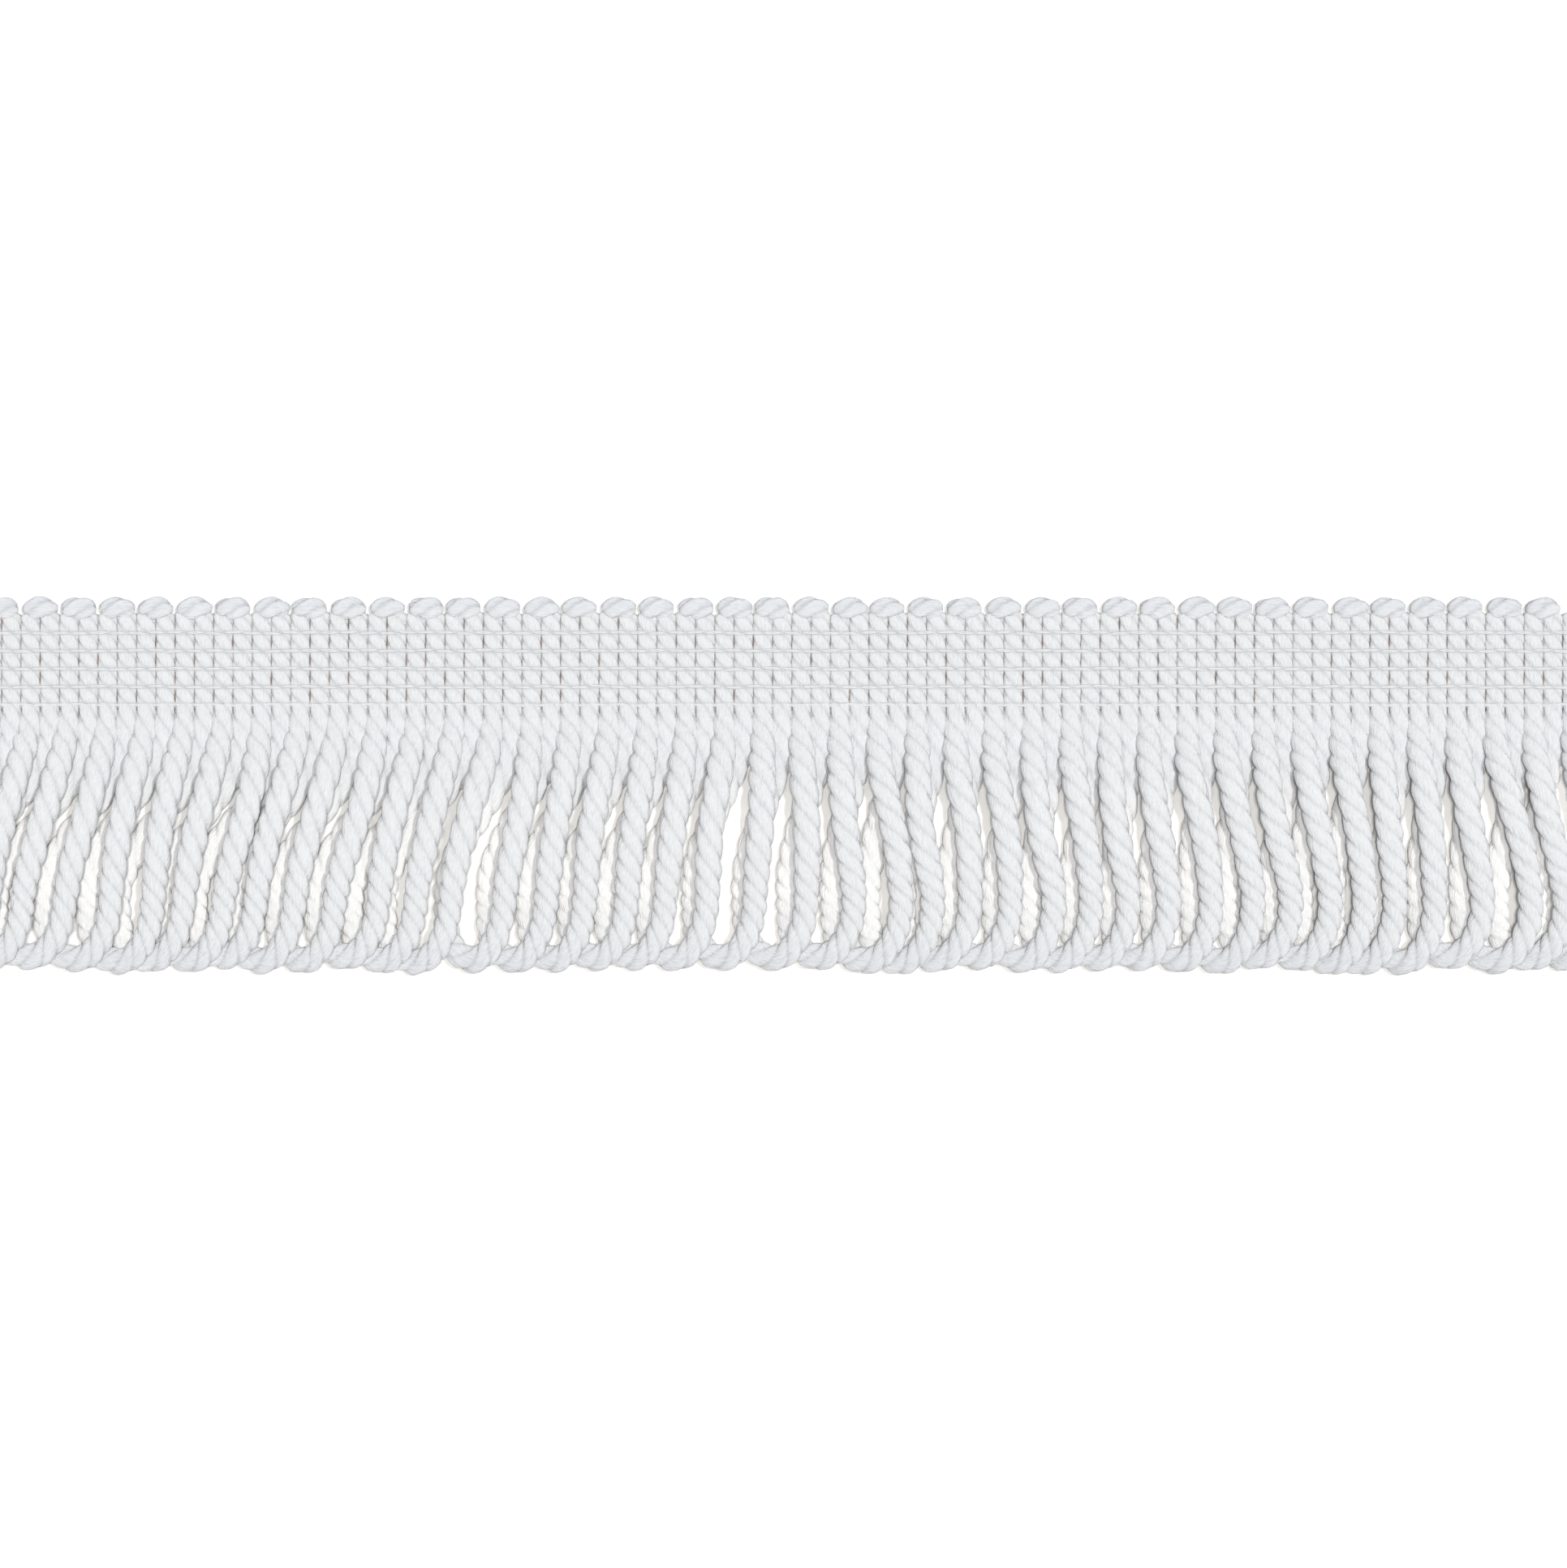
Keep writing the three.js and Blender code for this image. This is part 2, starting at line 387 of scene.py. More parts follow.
class Sketch:
    """A node tree that is being drawn, with short ways to add and join its nodes."""

    def __init__(self, tree: bpy.types.NodeTree) -> None:
        """Starts on an empty tree."""
        self.tree = tree

    def add(self, kind: str, inputs: dict | None = None, **settings) -> bpy.types.Node:
        """Adds a node.

        Args:
            kind: the node's type.
            inputs: a value or an output socket for each input, by its name or its number.
            settings: the node's own properties.

        Returns:
            The new node.
        """
        node = self.tree.nodes.new(kind)
        for name, value in settings.items():
            setattr(node, name, value)
        for key, value in (inputs or {}).items():
            socket = self.socket(node.inputs, key)
            if isinstance(value, Socket):
                self.tree.links.new(value, socket)
            else:
                socket.default_value = value
        return node

    @staticmethod
    def socket(sockets: bpy.types.bpy_prop_collection, key: str | int) -> Socket:
        """Finds a node's socket.

        Args:
            sockets: the node's inputs or outputs.
            key: the socket's number, or its name.

        Returns:
            The socket with that number, or the first one in use with that name.
        """
        if isinstance(key, int):
            return sockets[key]
        return next(socket for socket in sockets if socket.enabled and socket.name == key)

    def math(self, operation: str, *values: Value) -> Socket:
        """The result of one sum on numbers."""
        return self.add("ShaderNodeMath", dict(enumerate(values)), operation=operation).outputs[0]

    def vector(self, operation: str, *values: Socket | Colour) -> Socket:
        """The vector that one sum on vectors gives."""
        node = self.add("ShaderNodeVectorMath", dict(enumerate(values)), operation=operation)
        return node.outputs["Vector"]

    def dot(self, first: Socket, second: Socket) -> Socket:
        """The dot product of two vectors."""
        node = self.add("ShaderNodeVectorMath", {0: first, 1: second}, operation="DOT_PRODUCT")
        return node.outputs["Value"]

    def combine(self, x: Value, y: Value, z: Value) -> Socket:
        """A vector of three numbers."""
        return self.add("ShaderNodeCombineXYZ", {"X": x, "Y": y, "Z": z}).outputs[0]

    def ramp(self, value: Socket, start: Value, end: Value, top: float = 1.0) -> Socket:
        """An even rise from 0 where the value is at start to top where it is at end."""
        ends = {"Value": value, "From Min": start, "From Max": end, "To Max": top}
        return self.add("ShaderNodeMapRange", ends).outputs["Result"]

    def places(self) -> bpy.types.bpy_prop_collection:
        """The X, Y and Z of a material's point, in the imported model's own frame."""
        place = self.add("ShaderNodeTexCoord").outputs["Object"]
        return self.add("ShaderNodeSeparateXYZ", {0: place}).outputs

    def chance(self, x: Value, y: Value, z: Value) -> Socket:
        """An even draw from 0 to 1 that belongs to three numbers."""
        place = self.combine(x, y, z)
        return self.add("ShaderNodeTexWhiteNoise", {"Vector": place}).outputs["Value"]


class NodesPiece:
    """A Geometry Nodes tree with named inputs, which turns a start mesh into a plain piece."""

    def __init__(self, name: str, inputs: dict[str, str]) -> None:
        """Makes the tree's sockets.

        Args:
            name: the tree's name.
            inputs: the socket type of each named input.
        """
        self.tree = bpy.data.node_groups.new(name, "GeometryNodeTree")
        self.tree.is_modifier = True
        face = self.tree.interface
        face.new_socket("Geometry", in_out="INPUT", socket_type="NodeSocketGeometry")
        self.keys = {
            label: face.new_socket(label, in_out="INPUT", socket_type=kind).identifier
            for label, kind in inputs.items()
        }
        face.new_socket("Geometry", in_out="OUTPUT", socket_type="NodeSocketGeometry")
        self.sketch = Sketch(self.tree)
        self.given = self.sketch.add("NodeGroupInput").outputs

    def close(self, geometry: Socket) -> None:
        """Ends the tree: smooth faces, real meshes, and the material of the named input.

        Args:
            geometry: the finished shape.
        """
        add = self.sketch.add
        smooth = add("GeometryNodeSetShadeSmooth", {"Geometry": geometry})
        real = add("GeometryNodeRealizeInstances", {"Geometry": smooth.outputs[0]})
        coat = {"Geometry": real.outputs[0], "Material": self.given["Material"]}
        dressed = add("GeometryNodeSetMaterial", coat)
        add("NodeGroupOutput", {0: dressed.outputs[0]})

    def make(self, name: str, start: bpy.types.Mesh, values: dict) -> bpy.types.Object:
        """Runs the tree on a start mesh and keeps the result as a plain mesh.

        Args:
            name: the new piece's name.
            start: the mesh that the tree reads.
            values: a value for each named input.

        Returns:
            The finished object, at the origin, with no modifier.
        """
        holder = bpy.data.objects.new(name + "_start", start)
        bpy.context.scene.collection.objects.link(holder)
        modifier = holder.modifiers.new(self.tree.name, "NODES")
        modifier.node_group = self.tree
        for label, value in values.items():
            modifier[self.keys[label]] = value
        graph = bpy.context.evaluated_depsgraph_get()
        mesh = bpy.data.meshes.new_from_object(holder.evaluated_get(graph))
        mesh.name = name
        holder.modifiers.remove(modifier)
        bpy.data.objects.remove(holder)
        piece = bpy.data.objects.new(name, mesh)
        bpy.context.scene.collection.objects.link(piece)
        return piece


class CordSweep(NodesPiece):
    """Sweeps the cord's three-lobed section along strands."""

    SPARE = ("lift", "across", "girth", "flat", "room", "turn", "along", "centre", "around")
    FIRMNESS = 6.0
    CREASE_DEPTH = 0.05
    CREASE_POWER = 8.0
    LUMPS_PER_METRE = 850.0

    def __init__(self) -> None:
        """Draws the tree."""
        super().__init__(
            "cord_sweep",
            {
                "Sides": "NodeSocketInt",
                "Ply centre": "NodeSocketFloat",
                "Fibre turn": "NodeSocketFloat",
                "Lump height": "NodeSocketFloat",
                "Material": "NodeSocketMaterial",
            },
        )
        add, given = self.sketch.add, self.given
        curve = add("GeometryNodeMeshToCurve", {"Mesh": given["Geometry"]})
        upright = add("GeometryNodeSetCurveNormal", {"Curve": curve.outputs[0]}, mode="Z_UP")
        turned = {"Curve": upright.outputs[0], "Tilt": self.named("turn")}
        tilted = add("GeometryNodeSetCurveTilt", turned)
        place = add("GeometryNodeInputPosition").outputs[0]
        centred = self.stored(tilted.outputs[0], "centre", place, "FLOAT_VECTOR")
        sweep = {
            "Curve": centred,
            "Profile Curve": self.section(),
            "Scale": self.named("girth"),
            "Fill Caps": True,
        }
        swept = add("GeometryNodeCurveToMesh", sweep)
        pressed = self.lumpy(self.pressed(swept.outputs[0]))
        self.close(self.stored(pressed, "fibre", self.fibre(), "FLOAT_VECTOR"))

    def named(self, name: str, kind: str = "FLOAT") -> Socket:
        """Reads an attribute of the strand.

        Args:
            name: the attribute's name.
            kind: its data type.

        Returns:
            Its value at each point.
        """
        node = self.sketch.add("GeometryNodeInputNamedAttribute", data_type=kind)
        node.inputs["Name"].default_value = name
        return self.sketch.socket(node.outputs, "Attribute")

    def stored(self, geometry: Socket, name: str, value: Socket, kind: str = "FLOAT") -> Socket:
        """Keeps a value on each point.

        Args:
            geometry: the geometry that the points belong to.
            name: the name to keep the value under.
            value: the value.
            kind: its data type.

        Returns:
            The geometry with the value on it.
        """
        node = self.sketch.add("GeometryNodeStoreNamedAttribute", data_type=kind, domain="POINT")
        self.sketch.tree.links.new(geometry, node.inputs["Geometry"])
        node.inputs["Name"].default_value = name
        self.sketch.tree.links.new(value, self.sketch.socket(node.inputs, "Value"))
        return node.outputs["Geometry"]

    def section(self) -> Socket:
        """Draws the cord's section: three round plies side by side.

        Returns:
            A closed curve that reaches one unit from its middle.
        """
        sketch, given = self.sketch, self.given
        circle = sketch.add("GeometryNodeCurvePrimitiveCircle", {"Resolution": given["Sides"]})
        index = sketch.add("GeometryNodeInputIndex").outputs[0]
        angle = sketch.math("MULTIPLY", index, sketch.math("DIVIDE", 2 * math.pi, given["Sides"]))
        in_ply = sketch.math("WRAP", angle, math.pi / PLIES, -math.pi / PLIES)
        centre = given["Ply centre"]
        radius = sketch.math("SUBTRACT", 1.0, centre)
        sideways = sketch.math("MULTIPLY", centre, sketch.math("SINE", in_ply))
        squares = [sketch.math("POWER", side, 2.0) for side in (radius, sideways)]
        inner = sketch.math("SUBTRACT", *squares)
        outward = sketch.math("SQRT", sketch.math("MAXIMUM", inner, 0.0))
        ply_reach = sketch.math("MULTIPLY_ADD", centre, sketch.math("COSINE", in_ply), outward)
        edge = sketch.math("DIVIDE", sketch.math("ABSOLUTE", in_ply), math.pi / PLIES)
        narrow = sketch.math("POWER", edge, self.CREASE_POWER)
        crease = sketch.math("MULTIPLY", narrow, self.CREASE_DEPTH)
        reach = sketch.math("SUBTRACT", ply_reach, crease)
        flat = sketch.combine(sketch.math("COSINE", angle), sketch.math("SINE", angle), 0.0)
        place = sketch.vector("MULTIPLY", flat, sketch.combine(reach, reach, reach))
        moved = {"Geometry": circle.outputs[0], "Position": place}
        shaped = sketch.add("GeometryNodeSetPosition", moved)
        ridged = self.stored(shaped.outputs[0], "ridge", reach)
        return self.stored(ridged, "around", angle)

    def pressed(self, geometry: Socket) -> Socket:
        """Presses the swept cord flatter along its lift and holds it between its neighbours.

        Args:
            geometry: the swept cord.

        Returns:
            The pressed cord.
        """
        sketch = self.sketch
        place = sketch.add("GeometryNodeInputPosition").outputs[0]
        arm = sketch.vector("SUBTRACT", place, self.named("centre", "FLOAT_VECTOR"))
        lift = self.named("lift", "FLOAT_VECTOR")
        across = self.named("across", "FLOAT_VECTOR")
        height = sketch.dot(arm, lift)
        drop = sketch.math("MULTIPLY", height, sketch.math("SUBTRACT", self.named("flat"), 1.0))
        reach = sketch.dot(arm, across)
        share = sketch.math("ABSOLUTE", sketch.math("DIVIDE", reach, self.named("room")))
        crowd = sketch.math("ADD", sketch.math("POWER", share, self.FIRMNESS), 1.0)
        held = sketch.math("DIVIDE", reach, sketch.math("POWER", crowd, 1 / self.FIRMNESS))
        shift = sketch.math("SUBTRACT", held, reach)
        down = sketch.vector("MULTIPLY", lift, sketch.combine(drop, drop, drop))
        aside = sketch.vector("MULTIPLY", across, sketch.combine(shift, shift, shift))
        moved = {"Geometry": geometry, "Offset": sketch.vector("ADD", down, aside)}
        return sketch.add("GeometryNodeSetPosition", moved).outputs[0]

    def lumpy(self, geometry: Socket) -> Socket:
        """Gives the cord small soft lumps, as loosely twisted yarn has.

        Args:
            geometry: the smooth cord.

        Returns:
            The lumpy cord.
        """
        sketch = self.sketch
        place = sketch.add("GeometryNodeInputPosition").outputs[0]
        spread = {"Vector": place, "Scale": self.LUMPS_PER_METRE, "Detail": 1.0}
        noise = sketch.add("ShaderNodeTexNoise", spread)
        lump = sketch.math("SUBTRACT", noise.outputs["Fac"], 0.5)
        height = sketch.math("MULTIPLY", lump, self.given["Lump height"])
        outward = sketch.add("GeometryNodeInputNormal").outputs[0]
        offset = sketch.vector("MULTIPLY", outward, sketch.combine(height, height, height))
        moved = {"Geometry": geometry, "Offset": offset}
        return sketch.add("GeometryNodeSetPosition", moved).outputs[0]

    def fibre(self) -> Socket:
        """Finds which fibre each point lies on, for the material.

        Returns:
            A direction round the cord, which stays the same along one fibre, and the length
            along the cord.
        """
        sketch = self.sketch
        turned = sketch.math("MULTIPLY", self.named("turn"), self.given["Fibre turn"])
        angle = sketch.math("ADD", self.named("around"), turned)
        return sketch.combine(
            sketch.math("COSINE", angle), sketch.math("SINE", angle), self.named("along")
        )

    def sweep(
        self, name: str, strands: list[Strand], origin: Vector, values: dict
    ) -> bpy.types.Object:
        """Makes one piece of cord from strands.

        Args:
            name: the piece's name.
            strands: the centre lines, measured from the trim's origin.
            origin: the trim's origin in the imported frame.
            values: a value for each named input of the tree.

        Returns:
            The finished piece.
        """
        places = np.concatenate([strand.line[:, :3] for strand in strands]) + np.array(origin)
        edges, first = [], 0
        for strand in strands:
            count = len(strand.line)
            edges.extend((i, i + 1) for i in range(first, first + count - 1))
            first += count
        start = bpy.data.meshes.new(name + "_paths")
        start.from_pydata(places.tolist(), edges, [])
        width = np.concatenate([strand.line[:, 3] for strand in strands])
        thickness = np.concatenate([strand.line[:, 4] for strand in strands])
        offset = np.cumsum([0.0] + [strand.reached()[-1] for strand in strands[:-1]])
        reached = [strand.reached() + start_at for strand, start_at in zip(strands, offset)]
        numbers = {
            "girth": width / 2,
            "flat": thickness / width,
            "room": np.concatenate([strand.line[:, 6] for strand in strands]),
            "turn": np.concatenate([strand.turns for strand in strands]),
            "along": np.concatenate(reached),
        }
        for label, row in numbers.items():
            attribute = start.attributes.new(label, "FLOAT", "POINT")
            attribute.data.foreach_set("value", row.astype(np.float32))
        vectors = {
            "lift": np.concatenate([strand.lifts() for strand in strands]),
            "across": np.concatenate([strand.across() for strand in strands]),
        }
        for label, rows in vectors.items():
            attribute = start.attributes.new(label, "FLOAT_VECTOR", "POINT")
            attribute.data.foreach_set("vector", rows.astype(np.float32).ravel())
        piece = self.make(name, start, values)
        for label in self.SPARE:
            spare = piece.data.attributes.get(label)
            if spare is not None:
                piece.data.attributes.remove(spare)
        bpy.data.meshes.remove(start)
        return piece


class StitchRows(NodesPiece):
    """Sets one chain stitch where each thread row crosses from one cord column to the next."""

    PATH_POINTS = 12
    SECTION_POINTS = 4
    TILT = 0.06
    SIZES = (0.92, 1.08)
    TAPER_POWER = 4.0
    END_WIDTH = 0.25
    DIP_POWER = 3.0

    def __init__(self) -> None:
        """Draws the tree: a lens of thread, set at each point of the start mesh."""
        super().__init__(
            "stitch_rows",
            {
                "Half length": "NodeSocketFloat",
                "Half height": "NodeSocketFloat",
                "End dip": "NodeSocketFloat",
                "Thread radius": "NodeSocketFloat",
                "Stray": "NodeSocketFloat",
                "Seed": "NodeSocketInt",
                "Material": "NodeSocketMaterial",
            },
        )
        sketch, given = self.sketch, self.given
        stray = given["Stray"]
        spread = sketch.combine(stray, stray, 0.0)
        back = sketch.vector("SCALE", spread)
        back.node.inputs["Scale"].default_value = -1.0
        moved = self.random("FLOAT_VECTOR", back, spread, 0)
        strewn = sketch.add(
            "GeometryNodeSetPosition", {"Geometry": given["Geometry"], "Offset": moved}
        )
        points = sketch.add("GeometryNodeMeshToPoints", {"Mesh": strewn.outputs[0]})
        tilt = sketch.combine(0.0, 0.0, self.random("FLOAT", -self.TILT, self.TILT, 1))
        placed = sketch.add(
            "GeometryNodeInstanceOnPoints",
            {
                "Points": points.outputs[0],
                "Instance": self.stitch(),
                "Rotation": tilt,
                "Scale": self.random("FLOAT", *self.SIZES, 2),
            },
        )
        self.close(placed.outputs[0])

    def random(self, kind: str, low: Value, high: Value, step: int) -> Socket:
        """Draws a value for each stitch, from the tree's own seed.

        Args:
            kind: the value's data type.
            low: its lowest.
            high: its highest.
            step: added to the seed, so that each use has draws of its own.

        Returns:
            The value.
        """
        seed = self.sketch.math("ADD", self.given["Seed"], float(step))
        node = self.sketch.add("FunctionNodeRandomValue", {"Seed": seed}, data_type=kind)
        for label, value in (("Min", low), ("Max", high)):
            socket = self.sketch.socket(node.inputs, label)
            if isinstance(value, Socket):
                self.sketch.tree.links.new(value, socket)
            else:
                socket.default_value = value
        return self.sketch.socket(node.outputs, "Value")

    def stitch(self) -> Socket:
        """Draws one stitch: two strands that part over the gap and dip into the cord beside it.

        Returns:
            The stitch's mesh, round the point that it is set on.
        """
        sketch, given = self.sketch, self.given
        ring = {"Resolution": self.PATH_POINTS, "Radius": 1.0}
        path = sketch.add("GeometryNodeCurvePrimitiveCircle", ring)
        place = sketch.add("GeometryNodeInputPosition").outputs[0]
        split = sketch.add("ShaderNodeSeparateXYZ", {0: place}).outputs
        across = sketch.math("MULTIPLY", split["X"], given["Half length"])
        outward = sketch.math("ABSOLUTE", split["X"])
        taper = sketch.math("SUBTRACT", 1.0, sketch.math("POWER", outward, self.TAPER_POWER))
        parted = sketch.math("MULTIPLY", split["Y"], sketch.math("MAXIMUM", taper, self.END_WIDTH))
        upward = sketch.math("MULTIPLY", parted, given["Half height"])
        ends = sketch.math("POWER", outward, self.DIP_POWER)
        fall = sketch.math("MULTIPLY", ends, sketch.math("MULTIPLY", given["End dip"], -1.0))
        bent = sketch.add(
            "GeometryNodeSetPosition",
            {"Geometry": path.outputs[0], "Position": sketch.combine(across, upward, fall)},
        )
        ring = {"Resolution": self.SECTION_POINTS, "Radius": given["Thread radius"]}
        thread = sketch.add("GeometryNodeCurvePrimitiveCircle", ring)
        sweep = {"Curve": bent.outputs[0], "Profile Curve": thread.outputs[0]}
        return sketch.add("GeometryNodeCurveToMesh", sweep).outputs[0]


@dataclass(frozen=True)
class CordFinish:
    """White yarn: fine silky fibres that run nearly along the cord.

    streaks_around and streaks_along set how many fibres show round the cord and along a metre
    of it, and fine and broad are a streak's scale against those and its detail. A tone, made of
    the fine streaks and of how near a ply's crown the surface is, goes from a dark groove colour to
    the light one: the streaks are the fibres' own colour, and the darker grooves between plies are
    painted shade. Cord that lies low and away from the heading, whose edge is at edge_y, is painted
    a lighter, warmer white, as painted bounce light in the shade under the loops above. Past
    shade_start the cord turns over, and by shade_end painted shade brings its light colour to
    shade_tint of itself and its groove colour to shade_deep.
    """

    name: str
    edge_y: float
    shade_start: float
    shade_end: float
    # Painted shade where the cord turns over at the trim's edge.
    shade_tint: Colour = (0.885, 0.9, 0.925)
    shade_deep: Colour = (0.66, 0.68, 0.715)
    # The crown colour, and the darker groove colour that paints shade between plies.
    light: Colour = (0.77, 0.777, 0.792)
    groove_shade: Colour = (0.60, 0.61, 0.632)
    # Painted bounce light: the lighter, warmer colours of low cord away from the heading, and the
    # heights and distances from the edge over which they give way to the colours above.
    bounce_light: Colour = (0.94, 0.936, 0.925)
    bounce_groove_shade: Colour = (0.835, 0.826, 0.81)
    low_level: float = 1.8 * MM
    high_level: float = 3.4 * MM
    near_end: float = 6 * MM
    far_start: float = 12 * MM
    roughness: float = 0.42
    diffuse_roughness: float = 0.8
    sheen: float = 0.5
    sheen_roughness: float = 0.4
    gloss: float = 0.5
    streaks_around: float = 11.0
    streaks_along: float = 1500.0
    streak_roughness: float = 0.6
    fine: tuple[float, float] = (1.0, 3.0)
    broad: tuple[float, float] = (0.28, 2.0)
    crown_start: float = 0.78
    crown_end: float = 0.95
    crown_share: float = 0.55
    streak_share: float = 2.6
    streak_offset: float = -0.9
    broad_relief: float = 0.8
    relief_strength: float = 0.9
    relief: float = 0.24 * MM
    ply_centre: float = 0.26

    def material(self, slits: "SlitShade | None" = None) -> bpy.types.Material:
        """The finish as a Blender material.

        Args:
            slits: the painted shade in the slits between columns, or None where there are none.

        Returns:
            A node material that reads the cord's own attributes.
        """
        material = bpy.data.materials.new(self.name)
        material.use_nodes = True
        sketch = Sketch(material.node_tree)
        surface = material.node_tree.nodes["Principled BSDF"]
        surface.inputs["Roughness"].default_value = self.roughness
        surface.inputs["Diffuse Roughness"].default_value = self.diffuse_roughness
        surface.inputs["Specular IOR Level"].default_value = self.gloss
        surface.inputs["Sheen Weight"].default_value = self.sheen
        surface.inputs["Sheen Roughness"].default_value = self.sheen_roughness
        fibre = sketch.add("ShaderNodeAttribute", attribute_name="fibre").outputs["Vector"]
        fine = self.streaks(sketch, fibre, *self.fine)
        broad = self.streaks(sketch, fibre, *self.broad)
        ridge = sketch.add("ShaderNodeAttribute", attribute_name="ridge").outputs["Fac"]
        # Painted shade: crown falls to 0 in the grooves between plies, and the tone darkens the colour
        # there; the fine streaks are the fibres' own colour.
        crown = sketch.ramp(ridge, self.crown_start, self.crown_end)
        streaked = sketch.math("MULTIPLY_ADD", fine, self.streak_share, self.streak_offset)
        tone = sketch.math("MULTIPLY_ADD", crown, self.crown_share, streaked)
        tone.node.use_clamp = True
        # Painted bounce light: low cord away from the heading takes the lighter, warmer colours.
        raised = self.raised(sketch)
        crown_colour = self.mixed(sketch, raised, self.bounce_light, self.light)
        groove_shade_colour = self.mixed(sketch, raised, self.bounce_groove_shade, self.groove_shade)
        # Painted shade where the cord turns over at the picots and at the loops' turns.
        crown_colour = self.shaded(sketch, crown_colour, self.shade_tint)
        groove_shade_colour = self.shaded(sketch, groove_shade_colour, self.shade_deep)
        colour = self.mixed(sketch, tone, groove_shade_colour, crown_colour)
        # Painted shade in the slits between columns and beside the thread rows.
        if slits is not None:
            colour = slits.darkened(sketch, colour)
        sketch.tree.links.new(colour, surface.inputs["Base Color"])
        height = sketch.math("ADD", fine, sketch.math("MULTIPLY", broad, self.broad_relief))
        relief = {"Strength": self.relief_strength, "Distance": self.relief, "Height": height}
        bump = sketch.add("ShaderNodeBump", relief)
        sketch.tree.links.new(bump.outputs["Normal"], surface.inputs["Normal"])
        return material

    def shaded(self, sketch: Sketch, colour: Socket, tint: Colour) -> Socket:
        """Paints shade on a colour where the cord turns over at the trim's edge.

        Args:
            sketch: the material's tree.
            colour: the cord's colour elsewhere.
            tint: what the colour is multiplied by at the edge, as painted shade.

        Returns:
            The colour with its painted shade.
        """
        reach = sketch.places()["Y"]
        share = sketch.ramp(reach, self.shade_start, self.shade_end)
        return sketch.vector("MULTIPLY", colour, self.mixed(sketch, share, (1.0, 1.0, 1.0), tint))

    def raised(self, sketch: Sketch) -> Socket:
        """Tells high cord from low cord, which is painted lighter and warmer as bounce light.

        Args:
            sketch: the material's tree.

        Returns:
            1 where the cord is high or by the heading, and 0 where it lies low away from it and takes
            the painted bounce light.
        """
        split = sketch.places()
        high = sketch.ramp(split["Z"], self.low_level, self.high_level)
        near = sketch.ramp(split["Y"], self.edge_y - self.far_start, self.edge_y - self.near_end)
        return sketch.math("MAXIMUM", high, near)

    def streaks(self, sketch: Sketch, fibre: Socket, scale: float, detail: float) -> Socket:
        """Draws noise that is stretched along the fibres.

        Args:
            sketch: the material's tree.
            fibre: which fibre a point lies on.
            scale: the streaks' number against streaks_around and streaks_along.
            detail: how many finer layers the noise has.

        Returns:
            The noise, from 0 to 1.
        """
        around, along = self.streaks_around * scale, self.streaks_along * scale
        stretched = sketch.vector("MULTIPLY", fibre, (around, around, along))
        spread = {"Vector": stretched, "Scale": 1.0, "Detail": detail}
        spread["Roughness"] = self.streak_roughness
        return sketch.add("ShaderNodeTexNoise", spread).outputs["Fac"]

    @staticmethod
    def mixed(sketch: Sketch, share: Value, first: Colour | Socket, second: Colour | Socket) -> Socket:
        """Mixes two colours.

        Args:
            sketch: the material's tree.
            share: how far the result is from the first to the second.
            first: the first colour.
            second: the second colour.

        Returns:
            The mixed colour.
        """
        node = sketch.add("ShaderNodeMix", {"Factor": share}, data_type="RGBA")
        for label, value in (("A", first), ("B", second)):
            socket = sketch.socket(node.inputs, label)
            if isinstance(value, Socket):
                sketch.tree.links.new(value, socket)
            else:
                socket.default_value = (*value, 1.0)
        return sketch.socket(node.outputs, "Result")


